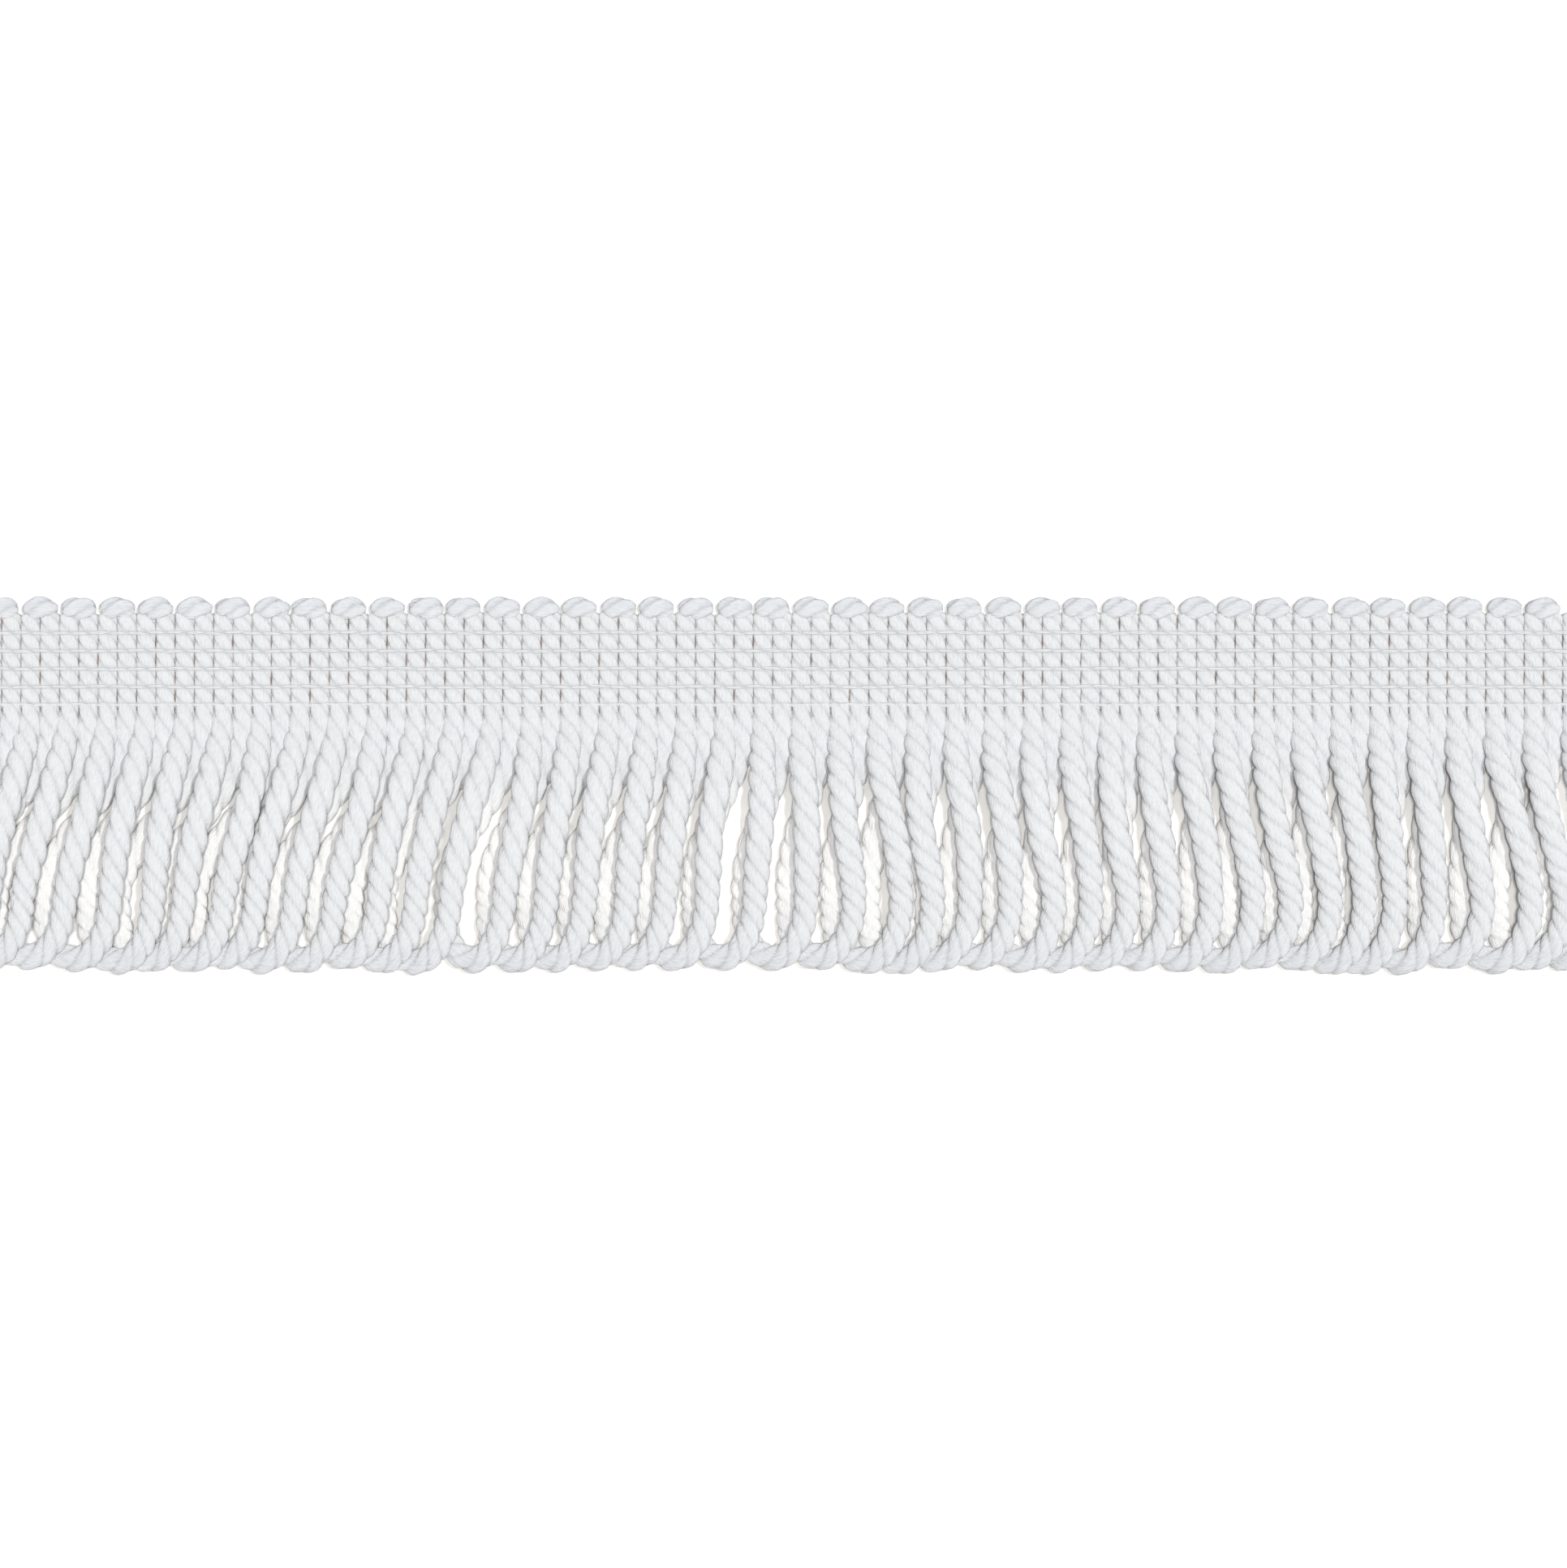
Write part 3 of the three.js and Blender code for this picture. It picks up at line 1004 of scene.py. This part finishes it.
@dataclass(frozen=True)
class SlitShade:
    """The painted shade in the slits between the heading's columns, grey and some of it brown.

    Each slit in each cell between two thread rows draws its own width, depth and colour. A slit
    is open round open_middle of its cell, whole to open_full from there and gone at open_end.
    Distances from a thread row are in row pitches.
    """

    plan: TrimPlan
    # Painted shade: the grey and the brown that darken the slits between columns.
    grey: Colour = (0.24, 0.225, 0.21)
    brown: Colour = (0.3, 0.17, 0.1)
    half_width: float = 0.085 * MM
    least_width: float = 0.5
    width_range: float = 0.7
    brown_width: float = 1.5
    brown_share: float = 0.24
    least_depth: float = 0.07
    depth_range: float = 0.9
    width_draw: float = 7.5
    depth_draw: float = 0.5
    open_middle: float = 0.52
    open_full: float = 0.22
    open_end: float = 0.42
    turned_edge: float = 8.4 * MM
    # Painted shade beside each thread row, where the cord dips under the thread: its colour, its
    # strength, and where it is full and where it ends, in row pitches.
    row_shade_grey: Colour = (0.5, 0.505, 0.52)
    row_depth: float = 0.34
    row_full: float = 0.1
    row_end: float = 0.2

    def darkened(self, sketch: Sketch, colour: Socket) -> Socket:
        """The colour with painted shade in the slits, and painted shade beside each thread row.

        Args:
            sketch: the material's tree.
            colour: the cord's own colour.

        Returns:
            The cord's colour away from the slits, and a dark one in them.
        """
        split = sketch.places()
        left = self.plan.origin.x - self.plan.length / 2
        from_left = sketch.math("SUBTRACT", split["X"], left)
        columns_in = sketch.math("DIVIDE", from_left, self.plan.column_pitch)
        slit = sketch.math("ROUND", columns_in)
        from_row = sketch.math("SUBTRACT", split["Y"], self.plan.origin.y + self.plan.first_row)
        rows_up = sketch.math("DIVIDE", from_row, self.plan.row_pitch)
        cell = sketch.math("FLOOR", rows_up)
        depth_draw = sketch.chance(slit, cell, self.depth_draw)
        width_draw = sketch.chance(slit, cell, self.width_draw)
        is_brown = sketch.math("GREATER_THAN", depth_draw, 1 - self.brown_share)
        width = sketch.math("MULTIPLY_ADD", width_draw, self.width_range, self.least_width)
        width = sketch.math("MAXIMUM", width, sketch.math("MULTIPLY", is_brown, self.brown_width))
        reach = sketch.math("MULTIPLY", width, self.half_width / self.plan.column_pitch)
        inside = sketch.ramp(self.apart(sketch, columns_in, slit), reach, 0.0)
        inside.node.interpolation_type = "SMOOTHSTEP"
        under_turn = sketch.math("LESS_THAN", split["Y"], self.plan.origin.y + self.turned_edge)
        shown = sketch.math("MAXIMUM", under_turn, sketch.math("MODULO", slit, 2.0))
        from_middle = self.apart(sketch, sketch.math("FRACT", rows_up), self.open_middle)
        open_part = sketch.ramp(from_middle, self.open_end, self.open_full)
        depth = sketch.math("MULTIPLY_ADD", depth_draw, self.depth_range, self.least_depth)
        shown = sketch.math("MULTIPLY", sketch.math("MULTIPLY", shown, open_part), depth)
        strength = sketch.math("MULTIPLY", inside, shown)
        # Painted shade beside each thread row; pressed is the cord's colour with this shade on it.
        from_thread = self.apart(sketch, rows_up, sketch.math("ROUND", rows_up))
        beside = sketch.ramp(from_thread, self.row_end, self.row_full, self.row_depth)
        bound = sketch.math("LESS_THAN", rows_up, self.plan.row_count - 0.5)
        shade = sketch.math("MULTIPLY", beside, bound)
        pressed = CordFinish.mixed(sketch, shade, colour, self.row_shade_grey)
        tint = CordFinish.mixed(sketch, is_brown, self.grey, self.brown)
        return CordFinish.mixed(sketch, strength, pressed, tint)

    @staticmethod
    def apart(sketch: Sketch, first: Value, second: Value) -> Socket:
        """How far two numbers are apart."""
        return sketch.math("ABSOLUTE", sketch.math("SUBTRACT", first, second))


@dataclass(frozen=True)
class ThreadFinish:
    """Fine white binding thread, a little shinier than the cord."""

    name: str = "binding_thread"
    colour: Colour = (0.77, 0.78, 0.795)
    darkest: float = 0.78
    roughness: float = 0.45
    gloss: float = 0.5
    grain: tuple[float, float, float] = (1500.0, 9000.0, 9000.0)
    grain_detail: float = 2.0
    relief_strength: float = 0.6
    relief: float = 0.02 * MM

    def material(self) -> bpy.types.Material:
        """The finish as a Blender material.

        Returns:
            A node material with a fine grain along the thread rows.
        """
        material = bpy.data.materials.new(self.name)
        material.use_nodes = True
        sketch = Sketch(material.node_tree)
        surface = material.node_tree.nodes["Principled BSDF"]
        surface.inputs["Roughness"].default_value = self.roughness
        surface.inputs["Specular IOR Level"].default_value = self.gloss
        place = sketch.add("ShaderNodeTexCoord").outputs["Object"]
        stretched = sketch.vector("MULTIPLY", place, self.grain)
        spread = {"Vector": stretched, "Scale": 1.0, "Detail": self.grain_detail}
        noise = sketch.add("ShaderNodeTexNoise", spread).outputs["Fac"]
        darker = tuple(self.darkest * part for part in self.colour)
        colour = CordFinish.mixed(sketch, noise, darker, self.colour)
        sketch.tree.links.new(colour, surface.inputs["Base Color"])
        relief = {"Strength": self.relief_strength, "Distance": self.relief, "Height": noise}
        bump = sketch.add("ShaderNodeBump", relief)
        sketch.tree.links.new(bump.outputs["Normal"], surface.inputs["Normal"])
        return material


@dataclass
class Heading:
    """The ribbed heading: upright passes of cord, joined over the top by small turned loops."""

    plan: TrimPlan
    finish: CordFinish
    twist: Twist = Twist.S
    width: float = 2.5 * MM
    side_room: float = 0.98 * MM
    open_room: float = 5.0 * MM
    thickness: float = 1.22 * MM
    level: float = 1.0 * MM
    step: float = 0.26 * MM
    sides: int = 24
    pinch_reach: float = 0.33 * MM
    pinch_depth: float = 0.42
    picot_width: float = 2.26 * MM
    picot_thickness: float = 1.95 * MM
    picot_level: float = 1.14 * MM
    picot_sink: float = 0.35 * MM
    picot_half_length: float = 1.56 * MM
    picot_rise: float = 0.22 * MM
    picot_roundness: float = 2.3
    picot_stray: float = 0.1 * MM
    picot_width_stray: float = 0.04
    picot_twist_pitch: float = 6.5 * MM
    tail: float = 0.15 * MM
    top_height: float = 8.95 * MM
    top_stray: float = 0.12 * MM
    closing: float = 0.75 * MM
    lump_height: float = 0.16 * MM
    fibre_turn: float = 0.9
    phase: float = -math.pi / 6
    phase_stray: float = 0.3
    column_points: int = 90
    picot_points: int = 40
    seed: int = 771

    def column_phases(self) -> list[float]:
        """The turn of each column's section at the heading's lowest thread row."""
        stray = StraySource(self.seed)
        return [self.phase + self.phase_stray * stray.next() for _ in range(self.plan.column_count)]

    def pinch(self, heights: np.ndarray) -> np.ndarray:
        """How hard the thread rows press the cord.

        Args:
            heights: heights above the heading's lower edge.

        Returns:
            The pressure at each height, from 0 to 1.
        """
        rows = [self.plan.row_y(row) for row in range(self.plan.row_count)]
        return sum(np.exp(-(((heights - row) / self.pinch_reach) ** 2)) for row in rows)

    def column_strand(self, column: int, top: float) -> Strand:
        """Lays an upright pass with a rounded top, pressed in by each thread row.

        Args:
            column: the pass's number, from the left.
            top: the height of its end above the heading's lower edge.

        Returns:
            The pass, before its twist.
        """
        heights = np.linspace(-self.tail, top, self.column_points)
        closed = np.clip((top - heights) / self.closing, 0.0, 1.0)
        round_top = closed_end(1 - closed, 2.0)
        pinch = self.pinch(heights)
        line = np.zeros((len(heights), Strand.COLUMNS))
        line[:, 0] = self.plan.column_x(column)
        line[:, 1] = heights
        line[:, 2] = self.level
        line[:, 3] = self.width * round_top
        line[:, 4] = self.thickness * (1 - self.pinch_depth * pinch) * round_top
        line[:, 6] = self.side_room
        return Strand(line)

    def picot_strand(self, column: int, aside: float) -> Strand:
        """Lays the small turned loop that joins a column's top to the next one's, in front of both.

        Args:
            column: the left one of the two columns.
            aside: how far the loop lies to the right of its place.

        Returns:
            The small loop, before its twist.
        """
        share = np.sin(np.linspace(-math.pi / 2, math.pi / 2, self.picot_points))
        closed = closed_end(share, self.picot_roundness)
        crest = self.plan.depth - self.picot_width / 2 - self.picot_rise
        line = np.zeros((len(share), Strand.COLUMNS))
        line[:, 0] = self.plan.column_x(column + 0.5) + aside + self.picot_half_length * share
        line[:, 1] = crest + self.picot_rise * (1 - share ** 2)
        line[:, 2] = self.picot_level - self.picot_sink * share ** 4
        line[:, 3] = self.picot_width * closed
        line[:, 4] = self.picot_thickness * closed
        line[:, 6] = self.open_room
        return Strand(line)

    def column_strands(self) -> list[Strand]:
        """Lays every upright pass, twisted so that it has a groove for each thread row.

        Returns:
            The passes, from the left.
        """
        pitch = PLIES * self.plan.row_pitch
        before_row = self.twist.value * 2 * math.pi * (self.tail + self.plan.first_row) / pitch
        stray = StraySource(self.seed + 1)
        strands = []
        for column, phase in enumerate(self.column_phases()):
            top = self.top_height + self.top_stray * stray.next()
            strand = self.column_strand(column, top).respaced(self.step)
            strands.append(strand.twisted(self.twist, pitch, phase - before_row, None))
        return strands

    def picot_strands(self) -> list[Strand]:
        """Lays every small turned loop along the upper edge.

        Returns:
            The small loops, from the left.
        """
        stray = StraySource(self.seed + 2)
        strands = []
        for column in range(1, self.plan.column_count - 1, 2):
            strand = self.picot_strand(column, self.picot_stray * stray.next()).respaced(self.step)
            strand.line[:, 3] *= 1 + self.picot_width_stray * stray.next()
            phase = math.pi * stray.next()
            strands.append(strand.twisted(self.twist, self.picot_twist_pitch, phase, None))
        return strands

    def build(self, sweep: CordSweep) -> bpy.types.Object:
        """Makes the heading's cords as one piece and dresses it.

        Args:
            sweep: what turns paths into cord.

        Returns:
            The piece, which rides the part's body.
        """
        values = {
            "Sides": self.sides,
            "Ply centre": self.finish.ply_centre,
            "Fibre turn": self.fibre_turn,
            "Lump height": self.lump_height,
            "Material": self.finish.material(SlitShade(self.plan)),
        }
        strands = self.column_strands() + self.picot_strands()
        piece = sweep.sweep("heading_cords", strands, self.plan.origin, values)
        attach(piece, BODY)
        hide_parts("heading")
        return piece


@dataclass
class LoopFringe:
    """The long loops: each one's right leg lies in front, and its turn under the loop to its left."""

    plan: TrimPlan
    heading: Heading
    finish: CordFinish
    twist: Twist = Twist.S
    twist_pitch: float = 6.6 * MM
    step: float = 0.3 * MM
    sides: int = 24
    pieces: int = 3
    top: float = 0.25 * MM
    root_width: float = 2.2 * MM
    root_thickness: float = 1.15 * MM
    neck_width: float = 2.3 * MM
    neck_thickness: float = 1.75 * MM
    leg_width: float = 2.6 * MM
    leg_thickness: float = 2.25 * MM
    turn_width: float = 2.5 * MM
    turn_thickness: float = 1.9 * MM
    root_room: float = 0.92 * MM
    room_start: float = 0.0 * MM
    room_end: float = 4.5 * MM
    back_end: float = 3.4 * MM
    slant_ease: float = 0.6
    front_turning: float = 0.72
    back_turning: float = 0.28
    back_foot: float = 0.05
    back_root: float = 0.86
    sweep: float = 0.5 * MM
    roundness: float = 0.65
    neck_end: float = 0.7 * MM
    full_end: float = 6.0 * MM
    rise_start: float = 1.2 * MM
    rise_end: float = 8.6 * MM
    leg_length: float = 18.8 * MM
    upper_level: float = 4.5 * MM
    layer_step: float = 1.95 * MM
    clearance: float = 0.02 * MM
    bow: float = 0.45 * MM
    lump_height: float = 0.26 * MM
    fibre_turn: float = 0.92
    pitch_stray: float = 0.08
    leg_points: int = 80
    turn_points: int = 50
    seed: int = 4093
    rounds: int = 14

    def loop_number_at(self, x: float, loops: list[Loop]) -> float:
        """Counts loops up to a place along the trim.

        Args:
            x: the place.
            loops: every loop, from the left.

        Returns:
            The number, with its fraction, of the loop whose upper foot lies at the place.
        """
        inside = next((i for i, loop in enumerate(loops) if loop.upper_foot >= x), len(loops) - 1)
        inside = max(1, inside)
        left, right = loops[inside - 1].upper_foot, loops[inside].upper_foot
        return inside - 1 + (x - left) / (right - left)

    def section_at(self, depth: float, turning: float) -> tuple[float, float]:
        """Sizes the cord's section.

        Args:
            depth: how far the point lies under the heading.
            turning: how far the cord is into its turn, from 0 to 1.

        Returns:
            The cord's width and thickness.
        """
        neck = smoothstep(depth, -self.top, self.neck_end)
        full = smoothstep(depth, self.neck_end, self.full_end)
        width = lerp(lerp(self.root_width, self.neck_width, neck), self.leg_width, full)
        thickness = lerp(self.root_thickness, self.neck_thickness, neck)
        thickness = lerp(thickness, self.leg_thickness, full)
        return lerp(width, self.turn_width, turning), lerp(thickness, self.turn_thickness, turning)

    def room_at(self, depth: float) -> float:
        """Half the width that the neighbours leave a cord at a depth under the heading."""
        opened = smoothstep(depth, self.room_start, self.room_end)
        return lerp(self.root_room, self.heading.open_room, opened ** 2)

    def upper_leg(self, loop: Loop, place: float, bow: float) -> tuple[float, ...]:
        """Finds a point of the front leg.

        Args:
            loop: the loop that the leg belongs to.
            place: where along the leg, from its root at 0 to its foot at 1.
            bow: how far the leg bends to the right at its middle.

        Returns:
            A row of the strand's line, up to the room that the cord has.
        """
        depth = lerp(-self.top, self.leg_length, place)
        hung = max(0.0, depth / self.leg_length)
        share = min(1.0, max(0.0, (hung - loop.start) / (1 - loop.start)))
        slant = lerp(share, smoothstep(share, 0, 1), self.slant_ease)
        turning = smoothstep(place, self.front_turning, 1)
        x = lerp(loop.upper_root, loop.upper_foot, slant) + bow * math.sin(math.pi * share) ** 2
        risen = smoothstep(depth, self.rise_start, self.rise_end)
        z = lerp(self.heading.level, self.upper_level, risen)
        return (x, -depth, z, *self.section_at(depth, turning), turning, self.room_at(depth))

    def turn(self, loop: Loop, place: float, loops: list[Loop]) -> tuple[float, ...]:
        """Finds a point of the turn.

        Args:
            loop: the loop that turns.
            place: where along the turn, from the front leg's foot at 0 to the back leg's at 1.
            loops: every loop, from the left.

        Returns:
            A row of the strand's line, up to the room that the cord has.
        """
        angle = place * math.pi
        half = (loop.upper_foot - loop.lower_foot) / 2
        sweep = self.sweep * max(0.0, math.sin(2 * angle))
        x = loop.lower_foot + half + half * math.cos(angle) - sweep
        depth = self.leg_length + loop.turn_depth * math.sin(angle) ** self.roundness
        under = loop.number - self.loop_number_at(x, loops)
        width, thickness = self.section_at(depth, 1.0)
        z = max(thickness / 2, self.upper_level - self.layer_step * under)
        return (x, -depth, z, width, thickness, 1.0, self.room_at(depth))

    def lower_leg(self, loop: Loop, place: float, bow: float) -> tuple[float, ...]:
        """Finds a point of the back leg.

        Args:
            loop: the loop that the leg belongs to.
            place: where along the leg, from its foot at 0 up to its root at 1.
            bow: how far the leg bends to the right at its middle.

        Returns:
            A row of the strand's line, up to the room that the cord has.
        """
        depth = lerp(self.leg_length, -self.top, place)
        hung = min(1.0, 1 - max(0.0, depth / self.leg_length))
        turning = 1 - smoothstep(place, 0, self.back_turning)
        width, thickness = self.section_at(depth, turning)
        leaned = smoothstep(hung, self.back_foot, self.back_root)
        x = lerp(loop.lower_foot, loop.lower_root, leaned)
        x += bow * math.sin(math.pi * hung) ** 2
        z = lerp(self.heading.level, thickness / 2, smoothstep(depth, 0, self.back_end))
        return (x, -depth, z, width, thickness, turning, self.room_at(depth))

    def strand(self, loop: Loop, loops: list[Loop], phases: list[float], stray: StraySource) -> Strand:
        """Lays one whole loop of cord, twisted to match the heading's columns at both roots.

        Args:
            loop: the loop to lay.
            loops: every loop, from the left.
            phases: the turn of each column's section, from the left.
            stray: where the loop's own bends and twist are drawn from.

        Returns:
            The loop's cord, from its front root to its back root.
        """
        front_bow, back_bow = self.bow * stray.next(), self.bow * stray.next()
        leg, turn = np.linspace(0, 1, self.leg_points), np.linspace(0, 1, self.turn_points)
        rows = [self.upper_leg(loop, place, front_bow) for place in leg]
        rows += [self.turn(loop, place, loops) for place in turn[1:]]
        rows += [self.lower_leg(loop, place, back_bow) for place in leg[1:]]
        line = np.array(rows)
        line[:, 5] *= self.layer_step / self.plan.loop_pitch
        strand = Strand(line).relaxed(self.rounds).respaced(self.step).rested(self.clearance)
        pitch = self.twist_pitch * (1 + self.pitch_stray * stray.next())
        down, up = phases[2 * loop.number + 1], phases[2 * loop.number]
        return strand.twisted(self.twist, pitch, math.pi / PLIES - down, up)

    def build(self, sweep: CordSweep) -> list[bpy.types.Object]:
        """Makes the loops as a few pieces and dresses them.

        Args:
            sweep: what turns paths into cord.

        Returns:
            The pieces, from the left, which ride the part's body.
        """
        loops = self.plan.loops()
        stray = StraySource(self.seed)
        phases = self.heading.column_phases()
        strands = [self.strand(loop, loops, phases, stray) for loop in loops]
        values = {
            "Sides": self.sides,
            "Ply centre": self.finish.ply_centre,
            "Fibre turn": self.fibre_turn,
            "Lump height": self.lump_height,
            "Material": self.finish.material(),
        }
        made = []
        share = math.ceil(len(strands) / self.pieces)
        for number in range(self.pieces):
            group = strands[number * share:(number + 1) * share]
            piece = sweep.sweep(f"fringe_loops_{number + 1}", group, self.plan.origin, values)
            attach(piece, BODY)
            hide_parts("fringe")
            made.append(piece)
        return made


@dataclass
class ChainThreads:
    """The five rows of chain stitch over the heading, and their straight backs."""

    plan: TrimPlan
    finish: ThreadFinish
    level: float = 1.41 * MM
    half_length: float = 0.92 * MM
    half_height: float = 0.07 * MM
    end_dip: float = 0.17 * MM
    radius: float = 0.088 * MM
    stray: float = 0.07 * MM
    back_level: float = 0.22 * MM
    back_radius: float = 0.13 * MM
    back_reach: float = 0.35
    seed: int = 12

    def build(self) -> list[bpy.types.Object]:
        """Makes the stitches and the back threads and dresses them.

        Returns:
            The stitches and the back threads, which ride the part's body.
        """
        material = self.finish.material()
        start = bpy.data.meshes.new("stitch_places")
        places = [
            Vector((self.plan.column_x(gap + 0.5), self.plan.row_y(row), self.level))
            for row in range(self.plan.row_count)
            for gap in range(self.plan.column_count - 1)
        ]
        start.from_pydata([place + self.plan.origin for place in places], [], [])
        values = {
            "Half length": self.half_length,
            "Half height": self.half_height,
            "End dip": self.end_dip,
            "Thread radius": self.radius,
            "Stray": self.stray,
            "Seed": self.seed,
            "Material": material,
        }
        stitches = StitchRows().make("chain_stitches", start, values)
        backs = self.back_threads(material)
        for piece in (stitches, backs):
            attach(piece, BODY)
        return [stitches, backs]

    def back_threads(self, material: bpy.types.Material) -> bpy.types.Object:
        """Lays the straight threads under the heading.

        Args:
            material: the thread's material.

        Returns:
            The threads, as one piece that ends back_reach column pitches past the outer columns.
        """
        curve = bpy.data.curves.new("back_threads", "CURVE")
        curve.dimensions = "3D"
        curve.bevel_depth = self.back_radius
        curve.bevel_resolution = 1
        curve.use_fill_caps = True
        ends = (-self.back_reach, self.plan.column_count - 1 + self.back_reach)
        for row in range(self.plan.row_count):
            spline = curve.splines.new("POLY")
            spline.points.add(1)
            for point, column in zip(spline.points, ends):
                local = Vector((self.plan.column_x(column), self.plan.row_y(row), self.back_level))
                point.co = (*(local + self.plan.origin), 1.0)
        holder = bpy.data.objects.new("back_threads_curve", curve)
        bpy.context.scene.collection.objects.link(holder)
        graph = bpy.context.evaluated_depsgraph_get()
        mesh = bpy.data.meshes.new_from_object(holder.evaluated_get(graph))
        bpy.data.objects.remove(holder)
        mesh.materials.clear()
        mesh.materials.append(material)
        piece = bpy.data.objects.new("back_threads", mesh)
        bpy.context.scene.collection.objects.link(piece)
        return piece


@dataclass(frozen=True)
class FloorFinish:
    """A plain white table top."""

    name: str = "table_top"
    colour: Colour = (0.98, 0.968, 0.945)
    roughness: float = 0.9
    gloss: float = 0.1

    def material(self) -> bpy.types.Material:
        """The finish as a Blender material.

        Returns:
            A node material of one colour.
        """
        material = bpy.data.materials.new(self.name)
        material.use_nodes = True
        surface = material.node_tree.nodes["Principled BSDF"]
        surface.inputs["Base Color"].default_value = (*self.colour, 1.0)
        surface.inputs["Roughness"].default_value = self.roughness
        surface.inputs["Specular IOR Level"].default_value = self.gloss
        return material


@dataclass
class Studio:
    """The table, the light and the camera, which looks straight down at the trim."""

    view_centre: tuple[float, float] = (3.76 * MM, 0.015 * MM)
    view_width: float = 147.1 * MM
    lens: float = 300.0
    sensor: float = 36.0
    focus_height: float = 2.5 * MM
    key_elevation: float = 80.0
    key_azimuth: float = 15.0
    key_angle: float = 3.0
    key_strength: float = 1.25
    key_colour: Colour = (0.975, 0.988, 1.0)
    fill_elevation: float = 90.0
    fill_azimuth: float = 0.0
    fill_angle: float = 5.0
    fill_strength: float = 1.78
    fill_colour: Colour = (1.0, 0.985, 0.965)
    sky_strength: float = 0.3
    sky_colour: Colour = (0.985, 0.992, 1.0)
    table_size: float = 2.0

    def build(self) -> None:
        """Makes the table, the lights and the camera."""
        self.make_table()
        self.make_light()
        self.make_camera()
        bpy.context.scene.view_settings.view_transform = "Standard"

    def make_table(self) -> None:
        """The white table top under the trim."""
        half = self.table_size / 2
        mesh = bpy.data.meshes.new("table_top")
        corners = [(-half, -half, 0), (half, -half, 0), (half, half, 0), (-half, half, 0)]
        mesh.from_pydata(corners, [], [(0, 1, 2, 3)])
        mesh.materials.append(FloorFinish().material())
        table = bpy.data.objects.new("table_top", mesh)
        bpy.context.scene.collection.objects.link(table)

    def make_sun(self, name: str, elevation: float, azimuth: float, angle: float) -> bpy.types.Light:
        """A far light.

        Args:
            name: the light's name.
            elevation: its height above the table, in degrees.
            azimuth: its direction along the table, in degrees from +X.
            angle: how broad it looks, in degrees, which softens its shadows.

        Returns:
            The light, whose strength and colour are still to be set.
        """
        light = bpy.data.lights.new(name, "SUN")
        light.angle = math.radians(angle)
        holder = bpy.data.objects.new(name, light)
        up, turn = math.radians(elevation), math.radians(azimuth)
        flat = math.cos(up)
        towards = Vector((flat * math.cos(turn), flat * math.sin(turn), math.sin(up)))
        holder.rotation_euler = towards.to_track_quat("Z", "Y").to_euler()
        holder.location = towards
        bpy.context.scene.collection.objects.link(holder)
        return light

    def make_light(self) -> None:
        """A cool key light from the right, a warm fill from above and an even white surround."""
        key = self.make_sun("key", self.key_elevation, self.key_azimuth, self.key_angle)
        key.energy, key.color = self.key_strength, self.key_colour
        fill = self.make_sun("fill", self.fill_elevation, self.fill_azimuth, self.fill_angle)
        fill.energy, fill.color = self.fill_strength, self.fill_colour
        world = bpy.data.worlds.new("surround")
        world.use_nodes = True
        background = world.node_tree.nodes["Background"]
        background.inputs["Color"].default_value = (*self.sky_colour, 1.0)
        background.inputs["Strength"].default_value = self.sky_strength
        bpy.context.scene.world = world

    def make_camera(self) -> None:
        """The camera, straight above the view's middle."""
        camera = bpy.data.cameras.new("camera")
        camera.lens = self.lens
        camera.sensor_width = self.sensor
        distance = self.view_width * self.lens / self.sensor
        holder = bpy.data.objects.new("camera", camera)
        holder.location = (*self.view_centre, distance + self.focus_height)
        bpy.context.scene.collection.objects.link(holder)
        bpy.context.scene.camera = holder


def main() -> None:
    """Builds the trim piece by piece and sets it in its studio."""
    logging.basicConfig(level=logging.INFO, format="%(name)s: %(message)s")
    Studio().build()
    plan = TrimPlan.from_frame()
    sweep = CordSweep()
    edge_y = plan.origin.y
    band_finish = CordFinish(
        "heading_cord",
        edge_y,
        edge_y + PICOT_SHADE_START,
        edge_y + PICOT_SHADE_END,
        shade_tint=(0.93, 0.945, 0.965),
        shade_deep=(0.87, 0.885, 0.91),
        ply_centre=0.3,
    )
    loop_finish = CordFinish(
        "loop_cord",
        edge_y,
        edge_y + TURN_SHADE_START,
        edge_y + TURN_SHADE_END,
    )
    heading = Heading(plan, band_finish)
    loops = LoopFringe(plan, heading, loop_finish)
    band = heading.build(sweep)
    hanging = loops.build(sweep)
    threads = ChainThreads(plan, ThreadFinish()).build()
    for piece in (band, *hanging, *threads):
        faces = sum(len(face.vertices) - 2 for face in piece.data.polygons)
        LOG.info("%s: %d triangles", piece.name, faces)


if __name__ == "__main__":
    main()
